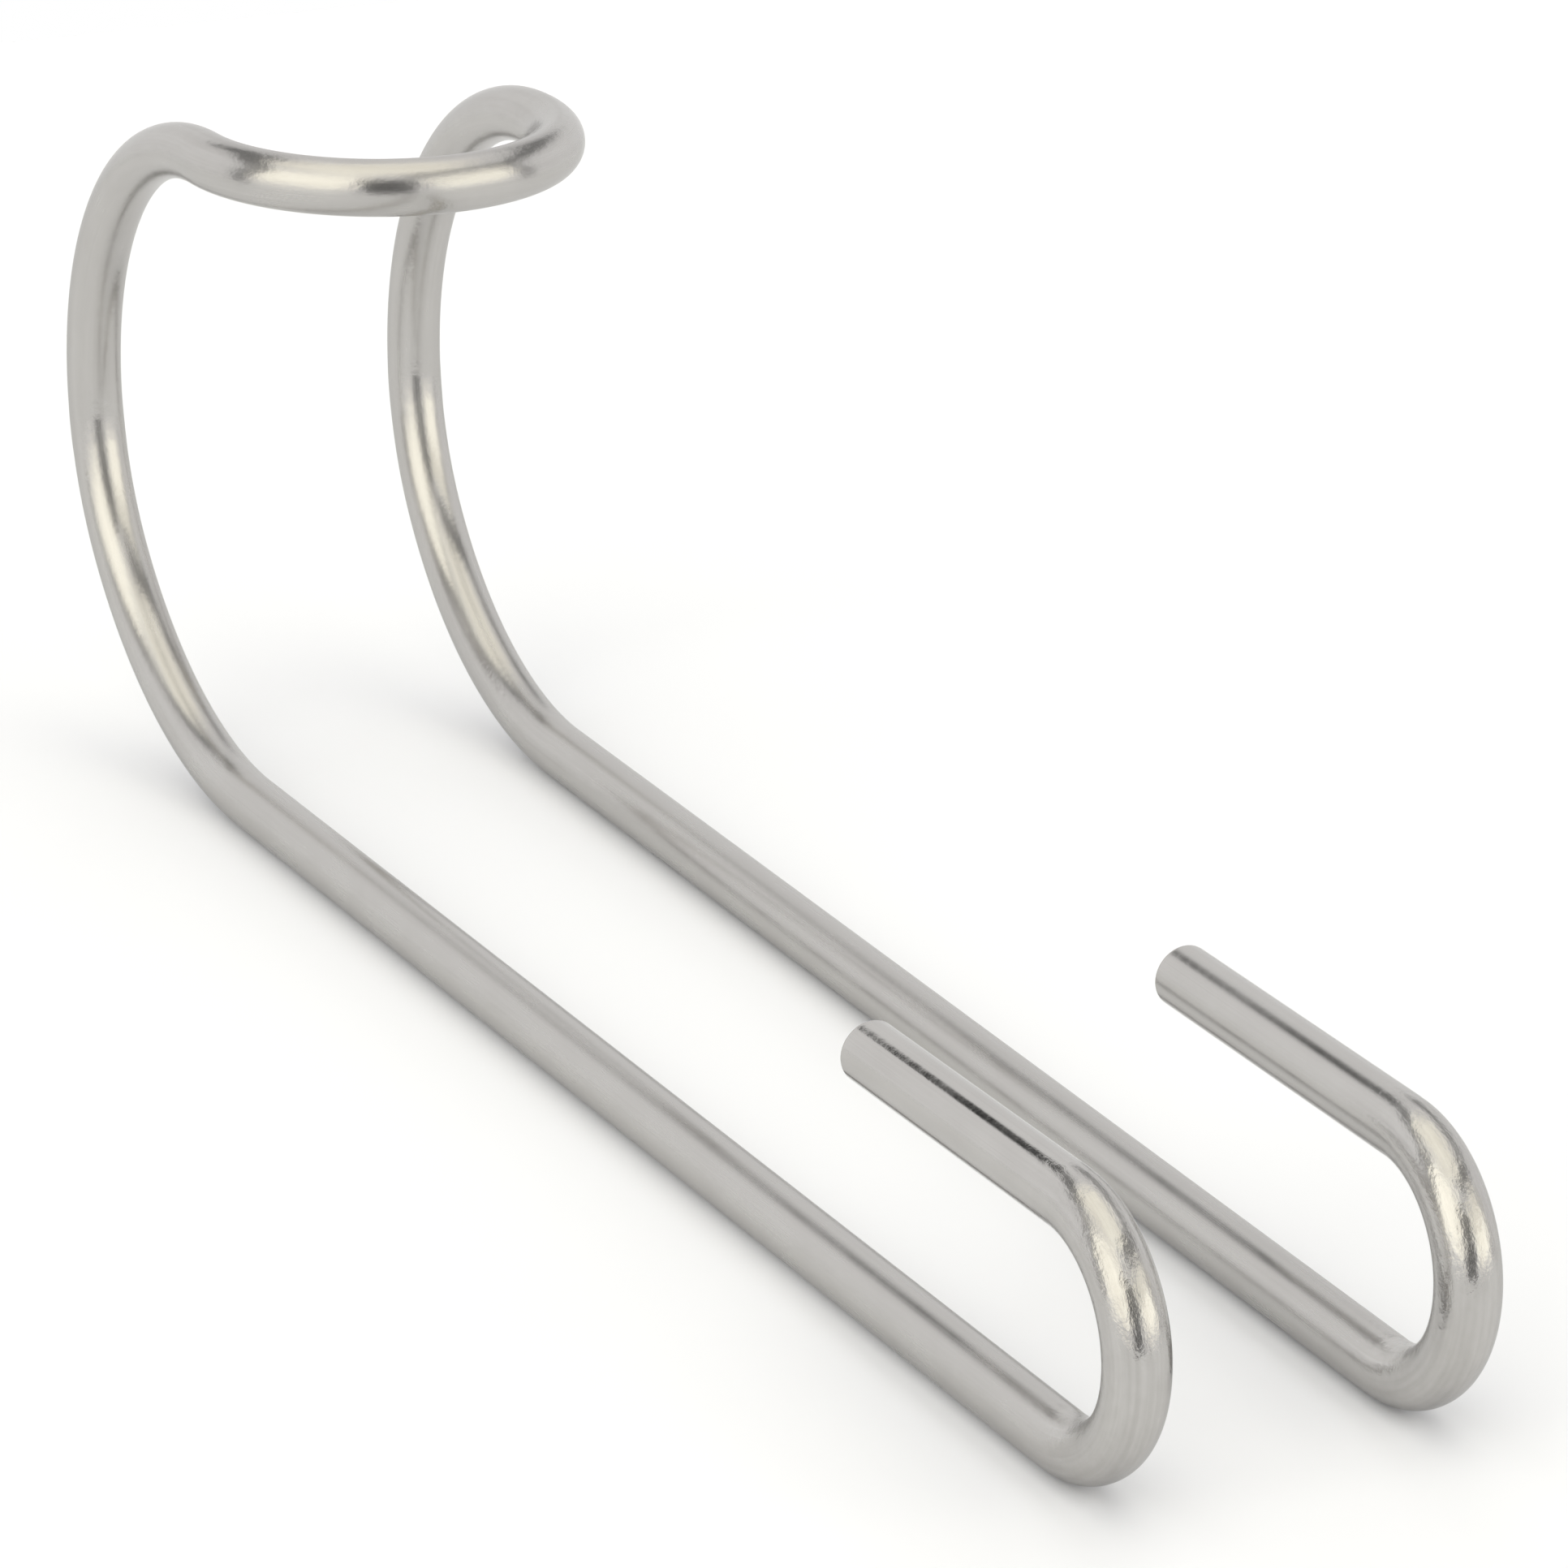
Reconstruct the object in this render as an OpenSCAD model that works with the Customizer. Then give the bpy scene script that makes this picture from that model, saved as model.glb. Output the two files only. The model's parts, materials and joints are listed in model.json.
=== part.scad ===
// Meat hook: one round wire bent into two J-hooks, two shanks, two arches and the U that joins them.
// Millimetres. The hook lies on its shanks: +X runs from the left leg to the right leg,
// +Y from the J-hooks to the arches and +Z up. The origin is the bottom centre of the bounding box.

/* [Wire] */
// Diameter of the round wire
wire_d = 4.76; // [3:0.01:6]
// Chamfer on the cut ends
tip_chamfer = 0.8; // [0.2:0.1:1]
// Length of the end section that carries the chamfer
tip_len = 3; // [2:0.5:5]

/* [J-hooks] */
// Centre-line radius of the half-turn of each J-hook
hook_r = 9.1; // [6:0.1:12]
// Straight end of the left J-hook, measured from its half-turn to the cut face
left_return_len = 27.9; // [15:0.1:40]
// Straight end of the right J-hook, measured from its half-turn to the cut face
right_return_len = 30.4; // [15:0.1:40]

/* [Shanks] */
// Length of the straight shanks
shank_len = 133.7; // [90:0.1:200]
// Distance between the shanks' centre lines where the J-hooks begin
hook_pitch = 26.2; // [16:0.1:40]
// Angle by which each leg opens outwards towards its arch, in degrees
splay = 0.69; // [0:0.01:2]
// Angle by which each leg leans outwards as it rises, in degrees
lean = 0.69; // [0:0.01:2]

/* [Arches] */
// Centre-line radius of the wide bend that starts each arch
neck_r = 34.5; // [26:0.1:50]
// Angle of the wide bend, in degrees; the arch turns through the rest of the half-turn
neck_angle = 53.6; // [30:0.1:80]
// Centre-line radius of the tighter bend that ends each arch
arch_r = 25.7; // [15:0.1:26]

/* [Hidden] */
$fn = 96;
steel = [0.74, 0.72, 0.69];
wire_r = wire_d / 2;
arch_angle = 180 - neck_angle;
// Centre of the arch bend in its leg's plane, tangent to the end of the neck bend
arch_y = shank_len + (neck_r - arch_r) * sin(neck_angle);
arch_z = neck_r - (neck_r - arch_r) * cos(neck_angle);
arch_top = arch_z + arch_r;

// Where a point of a leg's plane lies once the leg is splayed and leaned
function leg_x(y, z) = hook_pitch / 2 + y * sin(splay) + z * sin(lean) * cos(splay);
function leg_y(y, z) = y * cos(splay) - z * sin(lean) * sin(splay);
function leg_z(z) = z * cos(lean);

// The U is tangent to both arches, so its radius follows from their distance
yoke_r = leg_x(arch_y, arch_top) / cos(splay);
yoke_y = leg_y(arch_y, arch_top) + yoke_r * sin(splay);
yoke_z = leg_z(arch_top);

// Ends of the bounding box along Y, used to put the origin at its middle
bend_reach = sqrt(1 - pow(cos(lean) * sin(splay), 2));
front_y = leg_y(0, hook_r) - hook_r * bend_reach - wire_r;
back_y = leg_y(arch_y, arch_z) + arch_r * bend_reach + wire_r;

// Row frame: the shanks touch Z = 0 and the middle of the part is at Y = 0
module in_frame() {
  translate([0, -(front_y + back_y) / 2, wire_r]) children();
}

// Plane of the right leg: local Y along the shank and local Z upright
module right_leg() {
  in_frame()
    translate([hook_pitch / 2, 0, 0])
      rotate([0, 0, -splay])
        rotate([0, lean, 0])
          children();
}

// The left leg is the right one mirrored
module left_leg() {
  mirror([1, 0, 0]) right_leg() children();
}

// Straight wire along local Y
module straight(y, z, len) {
  translate([0, y, z]) rotate([-90, 0, 0]) cylinder(h = len, d = wire_d);
}

// Bent wire in the leg's plane; angles run from local Y towards local Z
module bend(y, z, r, start, sweep) {
  translate([0, y, z])
    rotate([start, 0, 0])
      rotate([90, 0, 90])
        rotate_extrude(angle = sweep) translate([r, 0]) circle(d = wire_d);
}

// Cut end with its chamfer, pointing along local Y
module hook_tip(return_len) {
  translate([0, return_len - tip_len, 2 * hook_r])
    rotate([-90, 0, 0])
      rotate_extrude()
        polygon([
          [0, 0],
          [wire_r, 0],
          [wire_r, tip_len - tip_chamfer],
          [wire_r - tip_chamfer, tip_len],
          [0, tip_len]
        ]);
}

module hook_return(return_len) {
  straight(0, 2 * hook_r, return_len - tip_len);
}

module hook_bend() {
  bend(0, hook_r, hook_r, 90, 180);
}

module shank() {
  straight(0, 0, shank_len);
}

module neck_bend() {
  bend(shank_len, neck_r, neck_r, -90, neck_angle);
}

module arch() {
  bend(arch_y, arch_z, arch_r, neck_angle - 90, arch_angle);
}

module left_hook_tip() {
  color(steel) left_leg() hook_tip(left_return_len);
}

module left_hook_return() {
  color(steel) left_leg() hook_return(left_return_len);
}

module left_hook_bend() {
  color(steel) left_leg() hook_bend();
}

module left_shank() {
  color(steel) left_leg() shank();
}

module left_neck_bend() {
  color(steel) left_leg() neck_bend();
}

module left_arch() {
  color(steel) left_leg() arch();
}

module right_hook_tip() {
  color(steel) right_leg() hook_tip(right_return_len);
}

module right_hook_return() {
  color(steel) right_leg() hook_return(right_return_len);
}

module right_hook_bend() {
  color(steel) right_leg() hook_bend();
}

module right_shank() {
  color(steel) right_leg() shank();
}

module right_neck_bend() {
  color(steel) right_leg() neck_bend();
}

module right_arch() {
  color(steel) right_leg() arch();
}

// The U lies level, opens towards the arches and points back over the shanks
module yoke() {
  color(steel)
    in_frame()
      translate([0, yoke_y, yoke_z])
        rotate([0, 0, 180 + splay])
          rotate_extrude(angle = 180 - 2 * splay) translate([yoke_r, 0]) circle(d = wire_d);
}

left_hook_tip();
left_hook_return();
left_hook_bend();
left_shank();
left_neck_bend();
left_arch();
right_hook_tip();
right_hook_return();
right_hook_bend();
right_shank();
right_neck_bend();
right_arch();
yoke();
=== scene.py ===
import json
import math

import bpy
import numpy as np
from mathutils import Matrix, Vector


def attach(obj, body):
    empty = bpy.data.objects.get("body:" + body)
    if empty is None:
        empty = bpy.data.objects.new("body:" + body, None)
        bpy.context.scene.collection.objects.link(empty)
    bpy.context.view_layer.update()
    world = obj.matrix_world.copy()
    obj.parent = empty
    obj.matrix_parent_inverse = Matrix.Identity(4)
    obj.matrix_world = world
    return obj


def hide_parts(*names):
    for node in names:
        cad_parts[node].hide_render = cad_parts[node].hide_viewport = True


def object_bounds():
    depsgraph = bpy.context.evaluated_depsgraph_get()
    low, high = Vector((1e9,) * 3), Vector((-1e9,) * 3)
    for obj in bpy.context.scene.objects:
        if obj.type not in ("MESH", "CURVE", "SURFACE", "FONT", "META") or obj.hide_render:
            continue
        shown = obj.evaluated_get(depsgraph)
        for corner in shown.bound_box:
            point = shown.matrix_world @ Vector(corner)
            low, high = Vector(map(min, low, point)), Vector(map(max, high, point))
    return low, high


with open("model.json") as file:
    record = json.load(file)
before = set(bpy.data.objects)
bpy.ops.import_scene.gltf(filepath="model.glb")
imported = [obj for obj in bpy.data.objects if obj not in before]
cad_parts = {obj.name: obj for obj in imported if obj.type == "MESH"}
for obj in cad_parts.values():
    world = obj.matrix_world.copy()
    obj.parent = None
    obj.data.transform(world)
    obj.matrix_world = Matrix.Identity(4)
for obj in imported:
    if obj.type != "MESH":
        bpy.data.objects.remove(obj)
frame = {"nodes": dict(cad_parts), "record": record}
cad_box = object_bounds()

MM = 0.001

# The wire from the left cut end to the right one, section by section as the CAD splits it
WIRE = [
    "left_hook_tip", "left_hook_return", "left_hook_bend",
    "left_shank", "left_neck_bend", "left_arch",
    "yoke",
    "right_arch", "right_neck_bend", "right_shank",
    "right_hook_bend", "right_hook_return", "right_hook_tip",
]
WIRE_R = next(m["dims"]["r_mm"] for m in frame["record"]["mounts"] if m["name"] == "left_tip") * MM
SKIN = 0.008 * MM          # the drawn surface lies this far inside the CAD cylinder
SIDES = 120                # points round the wire
STRAIGHT_STEP = 0.7 * MM   # ring spacing on the straights
BEND_STEP = 0.32 * MM      # ring spacing on the bends
RIM_POINTS = 12            # a flat end of a CAD section has at least this many points
PLANE_GAP = 1e-6           # points this close to a flat end lie in it
BOW = 1e-3                 # a section that bows less than this share of its length is straight


# ---------------------------------------------------------------- centre line, from the CAD sections

def fit_circle(rim, normal):
    """Centre and radius of the least-squares circle through points of one plane."""
    middle = rim.mean(0)
    offset = rim - middle
    rows = np.vstack([np.column_stack([2 * offset, np.ones(len(rim))]), [*normal, 0]])
    target = np.append((offset ** 2).sum(1), 0)
    centre = np.linalg.lstsq(rows, target, rcond=None)[0][:3]
    return middle + centre, float(np.linalg.norm(offset - centre, axis=1).mean())


def on_disc(point, centre, normal):
    """Whether a point lies in a flat end that has been found."""
    offset = point - centre
    return abs(offset.dot(normal)) < PLANE_GAP and offset.length < 2 * WIRE_R


def end_discs(node):
    """Centre, outward normal and radius of a CAD section's two flat ends."""
    mesh = frame["nodes"][node].data
    points = np.array([v.co for v in mesh.vertices])
    discs = []
    for face in sorted(mesh.polygons, key=lambda f: -f.area):
        if any(on_disc(face.center, centre, normal) for centre, normal, _ in discs):
            continue
        from_face = points - np.array(face.center)
        normal = np.array(face.normal)
        in_plane = abs(from_face @ normal) < PLANE_GAP
        rim = in_plane & (np.linalg.norm(from_face, axis=1) < 2 * WIRE_R)
        if rim.sum() < RIM_POINTS:      # a facet of the wire's round side
            continue
        centre, radius = fit_circle(points[rim], normal)
        discs.append((Vector(centre), face.normal.normalized(), radius))
        if len(discs) == 2:
            return discs
    raise ValueError("no two flat ends on " + node)


def in_wire_order():
    """For each section its start disc and end disc along the wire."""
    discs = [end_discs(n) for n in WIRE]
    first, second = discs[0]
    after = [d[0] for d in discs[1]]
    if min((first[0] - p).length for p in after) < min((second[0] - p).length for p in after):
        first, second = second, first
    ordered, here = [(first, second)], second[0]
    for pair in discs[1:]:
        start, end = sorted(pair, key=lambda d: (d[0] - here).length)
        ordered.append((start, end))
        here = end[0]
    return ordered


def trace(sections):
    """Rings along the whole wire: point, tangent, one transverse axis, distance and bend direction."""
    rings, spans = [], []
    side = None
    distance = 0.0
    for (p0, n0, _), (p1, _, _) in sections:
        t0 = -n0
        if side is None:
            side = (Vector((1, 0, 0)) - t0 * t0.x).normalized()
        chord = p1 - p0
        off = chord - t0 * chord.dot(t0)
        if off.length < BOW * chord.length:
            length, inward = chord.length, Vector((0, 0, 0))
            count = max(6, math.ceil(length / STRAIGHT_STEP))
            turns = [Matrix.Identity(3)] * (count + 1)
            points = [p0.lerp(p1, i / count) for i in range(count + 1)]
        else:
            inward = off.normalized()
            radius = chord.length_squared / (2 * chord.dot(inward))
            sweep = 2 * math.atan2(chord.dot(inward), chord.dot(t0))
            axis = t0.cross(inward)
            middle = p0 + inward * radius
            length = radius * sweep
            count = math.ceil(length / BEND_STEP)
            turns = [Matrix.Rotation(sweep * i / count, 3, axis) for i in range(count + 1)]
            points = [middle + m @ (p0 - middle) for m in turns]
        begin = len(rings)
        for i in range(0 if not rings else 1, count + 1):
            m = turns[i]
            rings.append({
                "p": points[i], "t": m @ t0, "u": m @ side, "s": distance + length * i / count,
                "inward": m @ inward,
            })
        spans.append([max(begin - 1, 0), len(rings) - 1])
        side = turns[-1] @ side
        distance += length
    return rings, spans


sections = in_wire_order()
rings, spans = trace(sections)
ring_p = np.array([r["p"] for r in rings])
ring_t = np.array([r["t"] for r in rings])
ring_u = np.array([r["u"] for r in rings])
ring_v = np.cross(ring_t, ring_u)
ring_s = np.array([r["s"] for r in rings])
ring_in = np.array([r["inward"] for r in rings])
WIRE_LENGTH = float(ring_s[-1])


def smooth(x):
    """0 up to x = 0, 1 from x = 1, with a soft rise between."""
    x = np.clip(x, 0, 1)
    return x * x * (3 - 2 * x)


def spread(values, reach):
    """Values given per section, blended along the wire where sections meet."""
    per_ring = np.zeros(len(rings))
    for value, (a, b) in zip(values, spans):
        per_ring[a:b + 1] = value
    weight = np.exp(-0.5 * ((ring_s[:, None] - ring_s[None, :]) / reach) ** 2)
    weight *= np.gradient(ring_s)[None, :]
    return weight @ per_ring / weight.sum(1)


# Roughness of each kind of section: the hooks' ends are glossier than the rest
GLOSS = {
    "hook_tip": 0.15, "hook_return": 0.15, "hook_bend": 0.2,
    "shank": 0.26, "neck_bend": 0.25, "arch": 0.24, "yoke": 0.25,
}
POLISH = {
    "left_hook_tip": -0.05, "left_hook_return": -0.05,
    "right_hook_tip": 0.05, "right_hook_return": 0.05,
}
# How far bending has stretched and roughened each kind of section's skin
STRETCH = {
    "hook_tip": 0.0, "hook_return": 0.0, "hook_bend": 1.0,
    "shank": 0.0, "neck_bend": 0.25, "arch": 0.3, "yoke": 0.35,
}
STRAIGHT_KINDS = ("hook_tip", "hook_return", "shank")
BLEND = 2.5 * MM           # sections' finishes run into each other over about this length


def kind(node):
    return node.removeprefix("left_").removeprefix("right_")


ring_rough = spread([GLOSS[kind(n)] + POLISH.get(n, 0.0) for n in WIRE], BLEND)
bend = spread([0.0 if kind(n) in STRAIGHT_KINDS else 1.0 for n in WIRE], BLEND)
stretch = spread([STRETCH[kind(n)] for n in WIRE], BLEND)
sharp_bend = spread([1.0 if kind(n) == "hook_bend" else 0.0 for n in WIRE], BLEND)


# ---------------------------------------------------------------- the drawn wire's surface

CLAMP_PLACE = 0.2          # how far round each arch from its neck bend the clamp marks lie
CLAMP_DEPTH = 0.03 * MM
CLAMP_FADE = 1.3 * MM      # over this length a clamp mark fades out
FLATTENING = 0.008         # share of the radius that a bend's outside loses, and more at the hooks
HOOK_FLATTENING = 0.016
DIE_LINES = 22
DIE_LINE_WIDTH = (0.10, 0.25)      # radians round the wire
DIE_LINE_LENGTH = (25 * MM, 110 * MM)
DIE_LINE_DRIFT = (-0.3, 0.3)       # radians from end to end
DIE_LINE_DEPTH = (0.0008 * MM, 0.0024 * MM)

rng = np.random.default_rng(7)
angle = np.arange(SIDES) * 2 * np.pi / SIDES
radial = (ring_u[:, None, :] * np.cos(angle)[None, :, None]
          + ring_v[:, None, :] * np.sin(angle)[None, :, None])


def wrapped(a):
    """The same angle between -pi and pi."""
    return (a + np.pi) % (2 * np.pi) - np.pi


def inset():
    """How far the real surface lies inside a perfect cylinder, ring by ring and round the wire."""
    depth = np.full((len(rings), SIDES), SKIN)
    # Bending flattens the wire a little on the outside of the bend, less on the inside
    facing = (radial * ring_in[:, None, :]).sum(2)
    outside, inside = np.clip(-facing, 0, 1) ** 2, np.clip(facing, 0, 1) ** 2
    amount = (FLATTENING * bend + HOOK_FLATTENING * sharp_bend) * WIRE_R
    depth += amount[:, None] * (outside + 0.5 * inside)
    # Die lines: shallow lengthwise flats that fade in and out, wiped away where the wire is bent
    for _ in range(DIE_LINES):
        at, width = rng.uniform(0, 2 * np.pi), rng.uniform(*DIE_LINE_WIDTH)
        start, length = rng.uniform(-0.1, 1) * WIRE_LENGTH, rng.uniform(*DIE_LINE_LENGTH)
        drift = rng.uniform(*DIE_LINE_DRIFT)
        along = (ring_s - start) / length
        window = smooth(along * 4) * smooth((1 - along) * 4) * (1 - 0.9 * bend)
        line = np.exp(-(wrapped(angle[None, :] - at - drift * along[:, None]) / width) ** 2)
        depth += rng.uniform(*DIE_LINE_DEPTH) * window[:, None] * line
    # Clamp marks: the bending tool squeezed each arch, which left it a little oval there
    across = np.cross(ring_t, ring_in)
    sideways = (radial * across[:, None, :]).sum(2) ** 2
    for node in ("left_arch", "right_arch"):
        a, b = spans[WIRE.index(node)]
        share = CLAMP_PLACE if node == "left_arch" else 1 - CLAMP_PLACE
        s = ring_s[a] + share * (ring_s[b] - ring_s[a])
        window = smooth(1.8 - abs(ring_s - s) / CLAMP_FADE)
        depth += CLAMP_DEPTH * window[:, None] * (1 - 1.7 * sideways)
    return depth


radius = WIRE_R - inset()
surface = ring_p[:, None, :] + radial * radius[:, :, None]


def surface_normals(points):
    """Unit normals of rows of points round the wire, all on one side of it."""
    along = np.gradient(points, axis=0)
    around = np.roll(points, -1, axis=1) - np.roll(points, 1, axis=1)
    n = np.cross(around, along)
    return n / np.linalg.norm(n, axis=2)[..., None]


def place_at(s):
    """Where a ring lies on the unbent wire, in millimetres."""
    return np.stack([WIRE_R * np.cos(angle), WIRE_R * np.sin(angle), np.full(SIDES, s)], 1) / MM


normals = surface_normals(surface)
normals *= np.sign((normals * radial).sum(2))[..., None]
place = np.array([place_at(s) for s in ring_s])


# ---------------------------------------------------------------- materials

class Graph:
    """Short calls for building a node tree."""

    def __init__(self, tree):
        self.tree = tree

    def add(self, kind, **settings):
        node = self.tree.nodes.new(kind)
        node.location = (180 * (len(self.tree.nodes) % 12), -220 * (len(self.tree.nodes) // 12))
        for key, value in settings.items():
            setattr(node, key, value)
        return node

    def feed(self, socket, value):
        if isinstance(value, bpy.types.NodeSocket):
            self.tree.links.new(value, socket)
        else:
            socket.default_value = value

    def math(self, operation, *values):
        node = self.add("ShaderNodeMath", operation=operation)
        for socket, value in zip(node.inputs, values):
            self.feed(socket, value)
        return node.outputs[0]

    def remap(self, value, low, high, to_low, to_high, shape="LINEAR"):
        node = self.add("ShaderNodeMapRange", interpolation_type=shape)
        names = ("Value", "From Min", "From Max", "To Min", "To Max")
        for name, v in zip(names, (value, low, high, to_low, to_high)):
            self.feed(node.inputs[name], v)
        return node.outputs["Result"]

    def noise(self, place, scale, detail, roughness=0.5):
        mapping = self.add("ShaderNodeMapping")
        mapping.inputs["Scale"].default_value = scale
        self.feed(mapping.inputs["Vector"], place)
        node = self.add("ShaderNodeTexNoise")
        node.inputs["Scale"].default_value = 1.0
        node.inputs["Detail"].default_value = detail
        node.inputs["Roughness"].default_value = roughness
        self.feed(node.inputs["Vector"], mapping.outputs["Vector"])
        return node.outputs["Fac"]

    def bump(self, height, distance, below=None):
        node = self.add("ShaderNodeBump")
        node.inputs["Strength"].default_value = 1.0
        node.inputs["Distance"].default_value = distance
        self.feed(node.inputs["Height"], height)
        if below is not None:
            self.feed(node.inputs["Normal"], below)
        return node.outputs["Normal"]


# Noises of the finish: cells a millimetre round the wire (twice) and along it, detail, roughness
GRAINS = {
    "draw_lines": ((8.0, 8.0, 0.045), 3.0, 0.5),
    "bands": ((0.9, 0.9, 0.012), 2.0, 0.5),
    "streaks": ((1.7, 1.7, 0.05), 2.0, 0.5),
    "blotches": ((0.45, 0.45, 0.16), 3.0, 0.5),
    "scratches": ((4.2, 4.2, 0.03), 1.0, 0.5),
    "peel": ((1.5, 1.5, 1.0), 4.0, 0.6),
    "grain": ((9.0, 9.0, 4.0), 2.0, 0.5),
}
# Heights of the relief, in metres
RELIEF = {"draw_lines": 0.5e-6, "bands": 4.0e-6, "skin": 70.0e-6, "scratches": -1.0e-6, "grain": 1.0e-6}
STEEL_DARK = (0.442, 0.429, 0.413, 1)
STEEL_LIGHT = (0.532, 0.521, 0.505, 1)
GRAZING_TINT = (0.82, 0.82, 0.82, 1)   # keeps the wire's edges visible against a white background
ANISOTROPY = 0.8                       # rougher round the wire than along it


def wire_material():
    material = bpy.data.materials.new("satin_drawn_steel")
    material.use_nodes = True
    g = Graph(material.node_tree)
    shader = g.tree.nodes["Principled BSDF"]
    shader.inputs["Metallic"].default_value = 1.0
    shader.inputs["Specular Tint"].default_value = GRAZING_TINT
    shader.inputs["Anisotropic"].default_value = ANISOTROPY
    tangent = g.add("ShaderNodeTangent", direction_type="UV_MAP", uv_map="wire")
    g.feed(shader.inputs["Tangent"], tangent.outputs["Tangent"])

    # Millimetres round and along the wire, so that every grain runs lengthwise through the bends
    place = g.add("ShaderNodeAttribute", attribute_name="wire_place").outputs["Vector"]
    bent = g.add("ShaderNodeAttribute", attribute_name="stretch").outputs["Fac"]
    rough = g.add("ShaderNodeAttribute", attribute_name="rough").outputs["Fac"]

    draw_lines, bands, streaks, blotches, scratches, peel, grain = (
        g.noise(place, *settings) for settings in GRAINS.values())

    # Colour: neutral steel, uneven along its draw lines and in soft blotches, more so on the bends
    tone = g.remap(draw_lines, 0.3, 0.7, -0.3, 0.3)
    tone = g.math("ADD", tone, g.remap(bands, 0.3, 0.7, -0.5, 0.5))
    tone = g.math("ADD", tone, g.remap(blotches, 0.3, 0.7, -0.6, 0.6))
    tone = g.math("ADD", tone, g.math("MULTIPLY", bent, g.remap(peel, 0.3, 0.7, -0.7, 0.7)))
    tone = g.math("ADD", tone, g.math("MULTIPLY", bent, g.remap(streaks, 0.35, 0.65, -1.1, 1.1)))
    line = g.remap(scratches, 0.69, 0.77, 0.0, 1.0, "SMOOTHSTEP")
    tone = g.math("SUBTRACT", tone, g.math("MULTIPLY", line, 0.6))
    ramp = g.add("ShaderNodeValToRGB")
    ramp.color_ramp.elements[0].color = STEEL_DARK
    ramp.color_ramp.elements[1].color = STEEL_LIGHT
    g.feed(ramp.inputs["Fac"], g.remap(tone, -1.8, 1.8, 0.0, 1.0))
    g.feed(shader.inputs["Base Color"], ramp.outputs["Color"])

    # Gloss: each section's own finish, broken up by the same lines and blotches
    rough = g.math("ADD", rough, g.remap(draw_lines, 0.3, 0.7, -0.015, 0.015))
    rough = g.math("ADD", rough, g.remap(blotches, 0.3, 0.7, -0.03, 0.03))
    g.feed(shader.inputs["Roughness"], rough)

    # Relief: draw lines, and an orange-peel skin where the wire was bent
    skin = g.math("MULTIPLY", peel, g.remap(bent, 0.0, 1.0, 0.08, 1.0))
    relief = None
    for height, name in ((draw_lines, "draw_lines"), (bands, "bands"), (skin, "skin"),
                         (line, "scratches"), (grain, "grain")):
        relief = g.bump(height, RELIEF[name], relief)
    g.feed(shader.inputs["Normal"], relief)
    return material


steel = wire_material()


# ---------------------------------------------------------------- pieces

CHAMFER_ROOM = 1.0 * MM    # the tip's own rows reach this far past its chamfer
EDGE_SOFT = 0.14 * MM      # rounding of the chamfer's two edges


def tip_profile(chamfer):
    """(distance from the cut face, radius lost) from the cylinder over the chamfer to the flat face."""
    c, soft = chamfer, EDGE_SOFT
    return [
        (c + 0.9 * MM, 0.0), (c + 0.4 * MM, 0.0), (c + soft, 0.0), (c + 0.4 * soft, 0.0015 * MM),
        (c, 0.05 * soft), (c - 0.45 * soft, 0.5 * soft), (0.5 * c, 0.5 * c + 0.02 * soft),
        (0.45 * soft, c - 0.5 * soft), (0.16 * soft, c - 0.12 * soft), (0.04 * soft, c + 0.15 * soft),
        (0.0, c + 0.5 * soft),
    ]


def map_wire(mesh, faces, where):
    """A UV map whose U runs round the wire, which gives the finish its direction."""
    rows, sides = where.shape[:2]
    turn = np.append(np.tile(np.arange(sides) / sides, rows), [0.5, 0.5])
    length = np.append(np.repeat(where[:, 0, 2], sides), where[[0, -1], 0, 2])
    length /= 2 * math.pi * WIRE_R / MM
    corner_ids = np.array([i for f in faces for i in f])
    face_ids = np.repeat(np.arange(len(faces)), [len(f) for f in faces])
    u = turn[corner_ids]
    # Faces over the map's seam run on to U = 1 instead of back to 0
    on_seam = np.zeros(len(faces), bool)
    np.logical_or.at(on_seam, face_ids, u > 0.9)
    u = np.where(on_seam[face_ids] & (u < 0.1), 1.0, u)
    uv = mesh.uv_layers.new(name="wire")
    uv.data.foreach_set("uv", np.column_stack([u, length[corner_ids]]).astype(np.float32).ravel())


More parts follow.
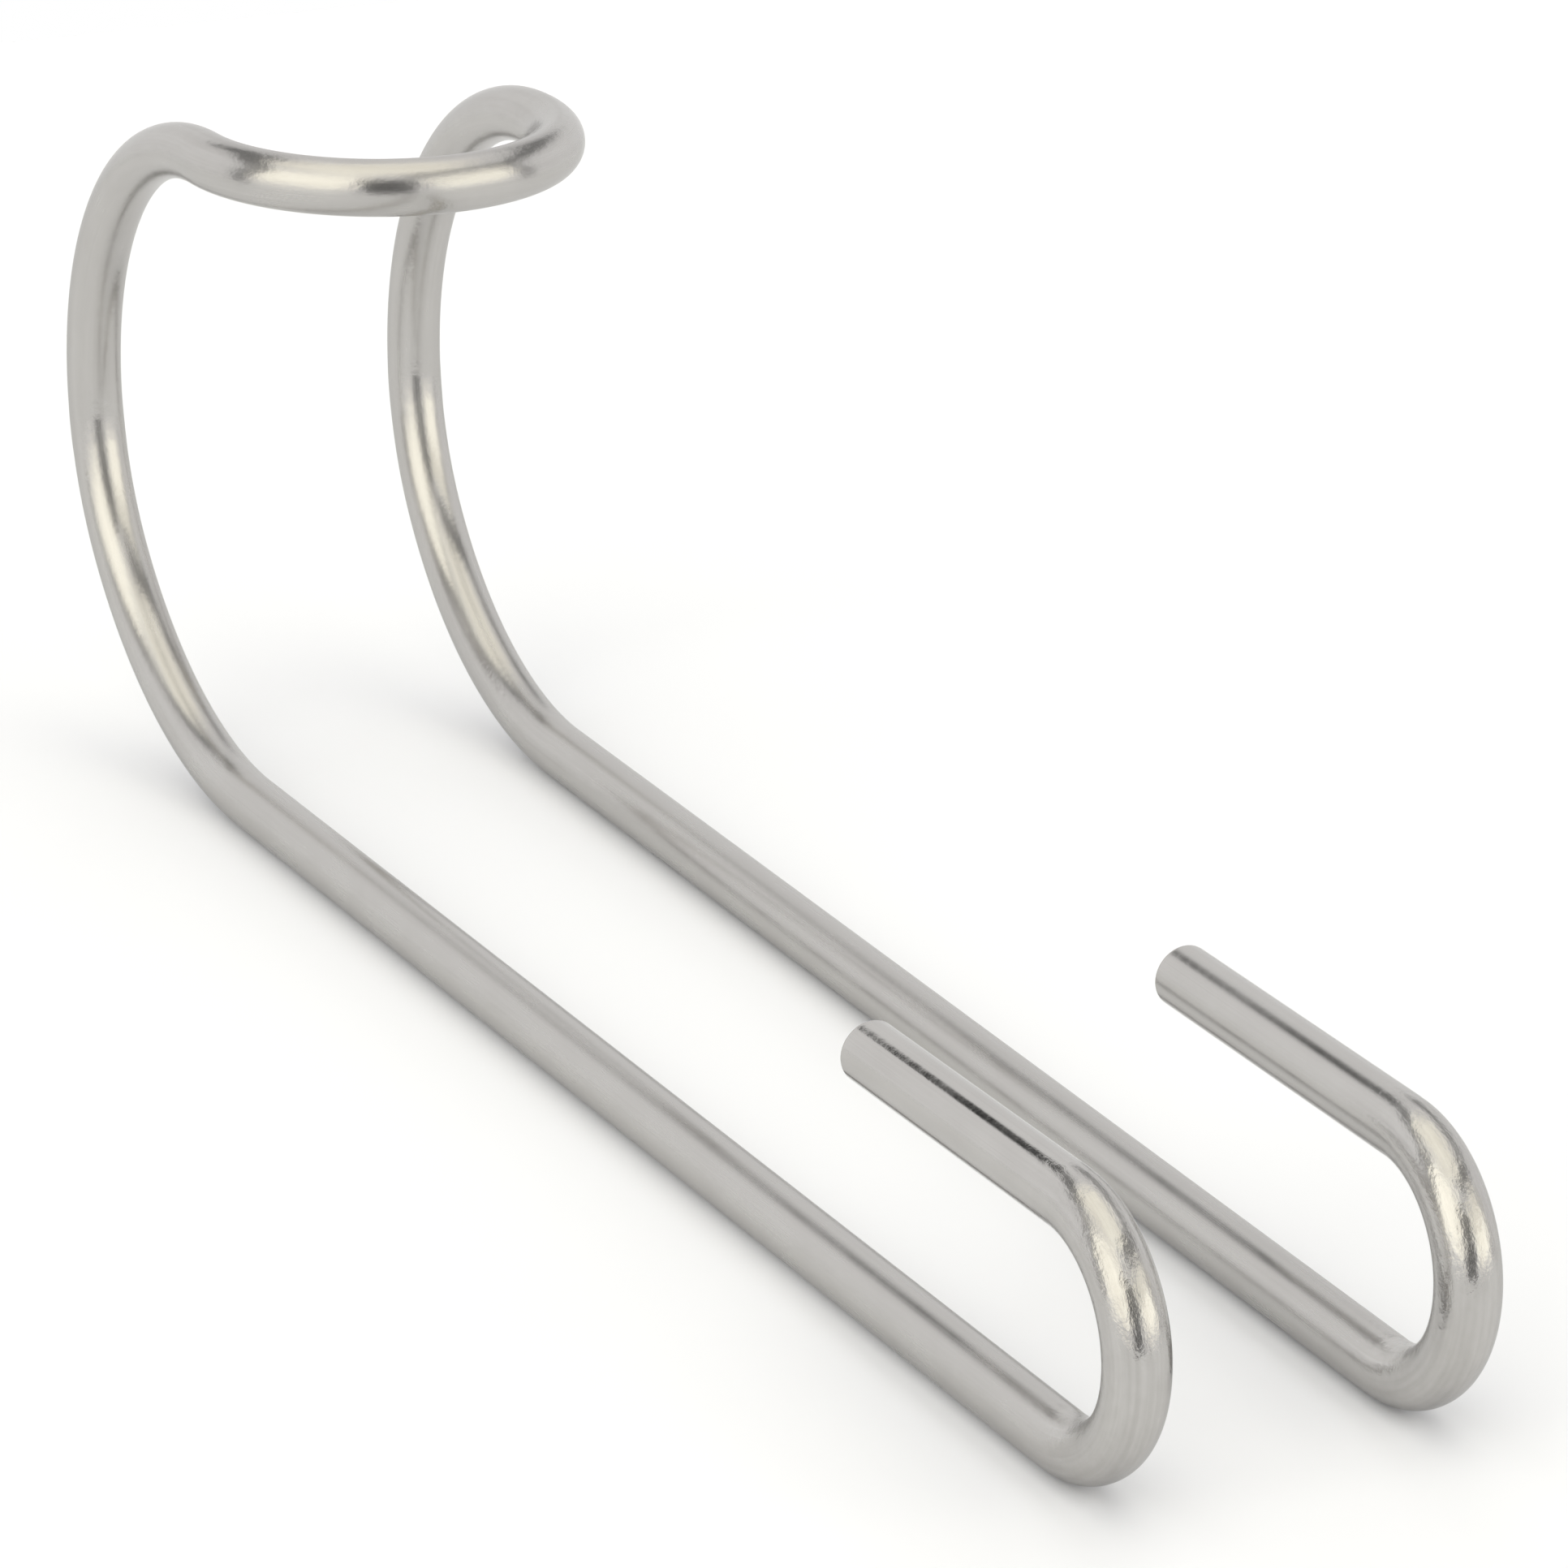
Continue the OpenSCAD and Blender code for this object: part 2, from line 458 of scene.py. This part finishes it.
def make_piece(name, points, norms, where, values, axes):
    """A closed tube from rows of points round the wire, with flat fans and sharp edges at its ends."""
    rows, sides = points.shape[:2]
    vertices = points.reshape(-1, 3)
    quads = []
    for i in range(rows - 1):
        a, b = i * sides, (i + 1) * sides
        for j in range(sides):
            k = (j + 1) % sides
            quads.append((a + j, a + k, b + k, b + j))
    centres = np.array([points[0].mean(0), points[-1].mean(0)])
    first, last = len(vertices), (rows - 1) * sides
    start_fan = [(first, (j + 1) % sides, j) for j in range(sides)]
    end_fan = [(first + 1, last + j, last + (j + 1) % sides) for j in range(sides)]
    # Winding: outward everywhere
    p = vertices[list(quads[0])]
    if np.dot(np.cross(p[1] - p[0], p[2] - p[0]), norms[0, 0]) < 0:
        quads = [q[::-1] for q in quads]
    p = np.array([centres[0], vertices[1], vertices[0]])
    if np.dot(np.cross(p[1] - p[0], p[2] - p[0]), -axes[0]) < 0:
        start_fan = [f[::-1] for f in start_fan]
        end_fan = [f[::-1] for f in end_fan]
    faces = quads + start_fan + end_fan
    mesh = bpy.data.meshes.new(name)
    mesh.from_pydata(np.concatenate([vertices, centres]).tolist(), [], faces)
    mesh.polygons.foreach_set("use_smooth", [True] * len(faces))
    flat_norms = norms.reshape(-1, 3)
    corner = []
    for q in quads:
        corner.extend(flat_norms[i] for i in q)
    corner.extend([-axes[0]] * (3 * sides))
    corner.extend([axes[1]] * (3 * sides))
    mesh.normals_split_custom_set([tuple(n) for n in corner])
    spot = mesh.attributes.new("wire_place", "FLOAT_VECTOR", "POINT")
    middles = np.array([where[0].mean(0), where[-1].mean(0)])
    spots = np.concatenate([where.reshape(-1, 3), middles])
    spot.data.foreach_set("vector", spots.astype(np.float32).ravel())
    for label, along in values.items():
        attribute = mesh.attributes.new(label, "FLOAT", "POINT")
        per_vertex = np.concatenate([np.repeat(along, sides), along[[0, -1]]])
        attribute.data.foreach_set("value", per_vertex.astype(np.float32))
    map_wire(mesh, faces, where)
    mesh.materials.append(steel)
    mesh.validate()
    piece = bpy.data.objects.new(name, mesh)
    bpy.context.scene.collection.objects.link(piece)
    return piece


def tip_rows(node, at_start):
    """Rows of a cut end, from the wire's cylinder over the chamfer, in wire order."""
    a, b = spans[WIRE.index(node)]
    _, _, face_radius = sections[WIRE.index(node)][0 if at_start else 1]
    chamfer = WIRE_R - face_radius
    end, inner = (a, b) if at_start else (b, a)
    step = 1 if at_start else -1
    rings_inward = range(end, inner + step, step)
    keep = [i for i in rings_inward if abs(ring_s[i] - ring_s[end]) > chamfer + CHAMFER_ROOM]
    rows_p, rows_w = [], []
    for back, lost in tip_profile(chamfer)[::-1]:
        s = ring_s[end] + step * back
        centre = ring_p[end] + ring_t[end] * (step * back)
        r = radius[inner] - lost
        rows_p.append(centre + radial[end] * r[:, None])
        rows_w.append(place_at(s))
    points = np.array(rows_p + [surface[i] for i in keep])
    where = np.array(rows_w + [place[i] for i in keep])
    norms = surface_normals(points)
    norms *= np.sign((norms[-1] * radial[inner]).sum(1).mean())
    norms[-1] = normals[inner]
    values = {
        "stretch": np.concatenate([np.zeros(len(rows_p)), stretch[keep]]),
        "rough": np.concatenate([np.full(len(rows_p), ring_rough[end]), ring_rough[keep]]),
    }
    if not at_start:
        points, where, norms = points[::-1], where[::-1], norms[::-1]
        values = {label: along[::-1] for label, along in values.items()}
    return points, norms, where, values


for node, (a, b) in zip(WIRE, spans):
    if node.endswith("hook_tip"):
        points, norms, where, values = tip_rows(node, node == WIRE[0])
    else:
        points, norms, where = surface[a:b + 1], normals[a:b + 1], place[a:b + 1]
        values = {"stretch": stretch[a:b + 1], "rough": ring_rough[a:b + 1]}
    piece = make_piece("wire_" + node, points, norms, where, values, (ring_t[a], ring_t[b]))
    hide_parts(node)
    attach(piece, "root")


# ---------------------------------------------------------------- floor

FLOOR_REACH = 0.32         # half of the square's side, in metres
FLOOR_CELLS = 8            # mesh cells along a side
FLOOR_DARK = (0.885, 0.9, 0.95, 1)
FLOOR_LIGHT = (0.9, 0.915, 0.965, 1)


def floor_material():
    material = bpy.data.materials.new("white_sweep")
    material.use_nodes = True
    g = Graph(material.node_tree)
    shader = g.tree.nodes["Principled BSDF"]
    shader.inputs["Roughness"].default_value = 1.0
    shader.inputs["Specular IOR Level"].default_value = 0.0
    place = g.add("ShaderNodeTexCoord").outputs["Object"]
    ramp = g.add("ShaderNodeValToRGB")
    ramp.color_ramp.elements[0].color = FLOOR_DARK
    ramp.color_ramp.elements[1].color = FLOOR_LIGHT
    g.feed(ramp.inputs["Fac"], g.noise(place, (6.0, 6.0, 6.0), 2.0))
    g.feed(shader.inputs["Base Color"], ramp.outputs["Color"])
    return material


def make_floor():
    low = cad_box[0].z
    reach, cells = FLOOR_REACH, FLOOR_CELLS
    mesh = bpy.data.meshes.new("floor")
    grid = [(-reach + 2 * reach * i / cells, -reach + 2 * reach * j / cells, low)
            for j in range(cells + 1) for i in range(cells + 1)]
    corners = [j * (cells + 1) + i for j in range(cells) for i in range(cells)]
    faces = [(c, c + 1, c + cells + 2, c + cells + 1) for c in corners]
    mesh.from_pydata(grid, [], faces)
    mesh.materials.append(floor_material())
    floor = bpy.data.objects.new("floor", mesh)
    bpy.context.scene.collection.objects.link(floor)


make_floor()


# ---------------------------------------------------------------- light: a white tent with softboxes

TENT = (1.1, 1.095, 1.09)      # the tent's own light, a little brighter than white
WARM = (1.0, 0.97, 0.86)       # tint of the softboxes


def tinted(colour, strength):
    return tuple(c * strength for c in colour)


# Panels and gaps of the tent, later ones in front. Azimuth runs from +Y towards +X. In degrees:
# azimuth, elevation, roll, half width, half height, soft edge. Then the light each gives.
PANELS = {
    "overhead": (0, 90, 0, 26, 26, 18, tinted(WARM, 1.6)),
    "top_gap_left": (-38, 53, -6, 27, 6, 7, tinted(TENT, 0.25)),
    "top_gap_right": (74, 42, -14, 34, 6, 7, tinted(TENT, 0.2)),
    "top_gap_far_right": (140, 57, -8, 22, 6, 8, tinted(TENT, 0.25)),
    "left_softbox": (-114, 31, 0, 28, 25, 18, tinted(WARM, 2.0)),
    "right_upper": (146, 33, 0, 25, 13, 12, tinted(WARM, 1.5)),
    "right_softbox": (146, 16, 0, 22, 11, 14, tinted(WARM, 2.05)),
    "camera_gap": (-164, 12, 0, 14, 32, 11, tinted(TENT, 0.14)),
    "left_seam": (-79, 18, 0, 6, 32, 8, tinted(TENT, 0.35)),
    "right_seam": (113, 8, 0, 5, 28, 8, tinted(TENT, 0.5)),
    "back_slot": (1, 41, 0, 8.5, 4, 2.5, tinted(TENT, 0.03)),
}

MIX_A, MIX_B, MIX_RESULT = 6, 7, 2     # a Mix node's colour sockets


def direction(azimuth, elevation):
    a, e = math.radians(azimuth), math.radians(elevation)
    return Vector((math.sin(a) * math.cos(e), math.cos(a) * math.cos(e), math.sin(e)))


def make_world():
    world = bpy.data.worlds.new("studio")
    bpy.context.scene.world = world
    world.use_nodes = True
    g = Graph(world.node_tree)
    g.tree.nodes.clear()
    ray = g.add("ShaderNodeTexCoord").outputs["Generated"]

    def along(axis):
        node = g.add("ShaderNodeVectorMath", operation="DOT_PRODUCT")
        g.feed(node.inputs[0], ray)
        g.feed(node.inputs[1], axis)
        return node.outputs["Value"]

    def inside(value, half, soft):
        angle = g.math("ABSOLUTE", g.math("DEGREES", value))
        return g.remap(angle, half - soft / 2, half + soft / 2, 1.0, 0.0, "SMOOTHSTEP")

    colour = (*TENT, 1)
    for azimuth, elevation, roll, half_width, half_height, soft, light in PANELS.values():
        ahead = direction(azimuth, elevation)
        right = direction(azimuth + 90, 0)
        up = right.cross(ahead)
        tilt = Matrix.Rotation(math.radians(roll), 3, ahead)
        right, up = tilt @ right, tilt @ up
        x = g.math("ARCTAN2", along(right), along(ahead))
        y = g.math("ARCSINE", along(up))
        mask = g.math("MULTIPLY", inside(x, half_width, soft), inside(y, half_height, soft))
        mix = g.add("ShaderNodeMix", data_type="RGBA")
        g.feed(mix.inputs["Factor"], mask)
        g.feed(mix.inputs[MIX_A], colour)
        g.feed(mix.inputs[MIX_B], (*light, 1))
        colour = mix.outputs[MIX_RESULT]
    tent = g.add("ShaderNodeBackground")
    g.feed(tent.inputs["Color"], colour)
    plain = g.add("ShaderNodeBackground")
    plain.inputs["Color"].default_value = (1, 1, 1, 1)
    choose = g.add("ShaderNodeMixShader")
    g.feed(choose.inputs["Fac"], g.add("ShaderNodeLightPath").outputs["Is Camera Ray"])
    g.feed(choose.inputs[1], tent.outputs["Background"])
    g.feed(choose.inputs[2], plain.outputs["Background"])
    g.feed(g.add("ShaderNodeOutputWorld").inputs["Surface"], choose.outputs["Shader"])


make_world()


# ---------------------------------------------------------------- camera

CAMERA_AZIMUTH = -28.436       # degrees
CAMERA_ELEVATION = 20.789
CAMERA_ROLL = 1.271
CAMERA_DISTANCE = 0.4810       # metres
CAMERA_LENS = 142.37           # millimetres, on a sensor 36 mm wide
AIM_OFF_CENTRE = Vector((3.93, -5.58, -7.86)) * MM


def make_camera():
    az, el = math.radians(CAMERA_AZIMUTH), math.radians(CAMERA_ELEVATION)
    back = Vector((math.sin(az) * math.cos(el), -math.cos(az) * math.cos(el), math.sin(el)))
    level = Vector((0, 0, 1)).cross(back).normalized()
    upright = back.cross(level)
    roll = math.radians(CAMERA_ROLL)
    right = level * math.cos(roll) + upright * math.sin(roll)
    up = back.cross(right)
    data = bpy.data.cameras.new("camera")
    data.lens = CAMERA_LENS
    data.sensor_width = 36.0
    data.clip_start, data.clip_end = 0.01, 50.0
    camera = bpy.data.objects.new("camera", data)
    bpy.context.scene.collection.objects.link(camera)
    aim = (cad_box[0] + cad_box[1]) / 2 + AIM_OFF_CENTRE
    turn = Matrix((right, up, back)).transposed().to_4x4()
    camera.matrix_world = Matrix.Translation(aim + back * CAMERA_DISTANCE) @ turn
    bpy.context.scene.camera = camera


make_camera()
bpy.context.scene.view_settings.view_transform = "Standard"
